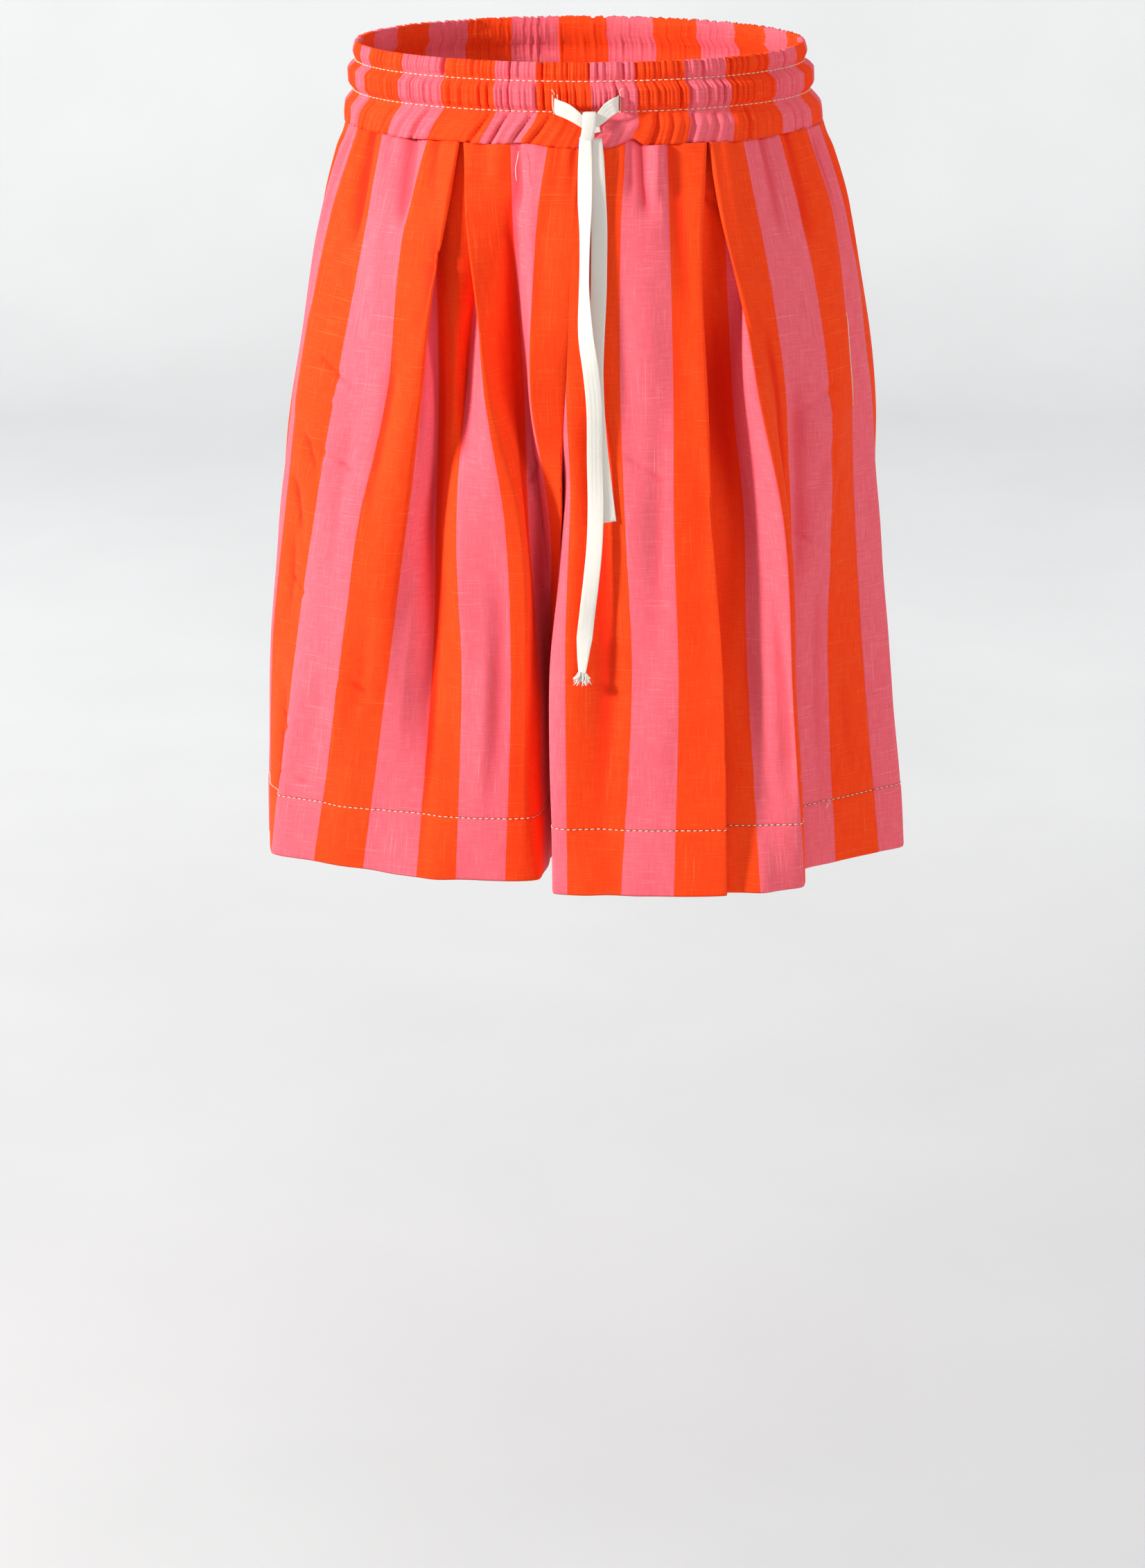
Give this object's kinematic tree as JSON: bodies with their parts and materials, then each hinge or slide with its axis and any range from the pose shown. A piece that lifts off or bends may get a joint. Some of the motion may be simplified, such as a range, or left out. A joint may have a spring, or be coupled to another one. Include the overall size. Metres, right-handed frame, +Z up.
{
  "type": "bermuda shorts",
  "caption": "Wide-leg pull-on bermuda shorts in striped linen, with a gathered drawstring waistband, front pleats, side-seam pockets and turned hems, in worn form.",
  "frame": {"origin": "middle of the waist at the height of the waistband's drawstring channel, where the wearer's waist holds the shorts", "axes": "+Z up, the front of the shorts faces -Y, +X is to the right of whoever looks at the front"},
  "size_m": [0.4644, 0.2628, 0.5802],
  "materials": {
    "linen_orange": "plain-weave linen, matt, with slubs",
    "linen_pink": "plain-weave linen, matt, with slubs",
    "cotton_tape": "flat woven cotton tape, matt"
  },
  "bodies": {
    "root": {"front_right": "linen_orange", "front_left": "linen_pink", "back_right": "linen_pink", "back_left": "linen_orange", "pocket_facing_right": "linen_pink", "pocket_facing_left": "linen_orange", "waistband": "linen_pink", "drawstring_bridge_left": "cotton_tape", "drawstring_bridge_right": "cotton_tape", "drawstring_knot": "cotton_tape", "drawstring_tail_long": "cotton_tape", "drawstring_tail_short": "cotton_tape"}
  },
  "joints": []
}
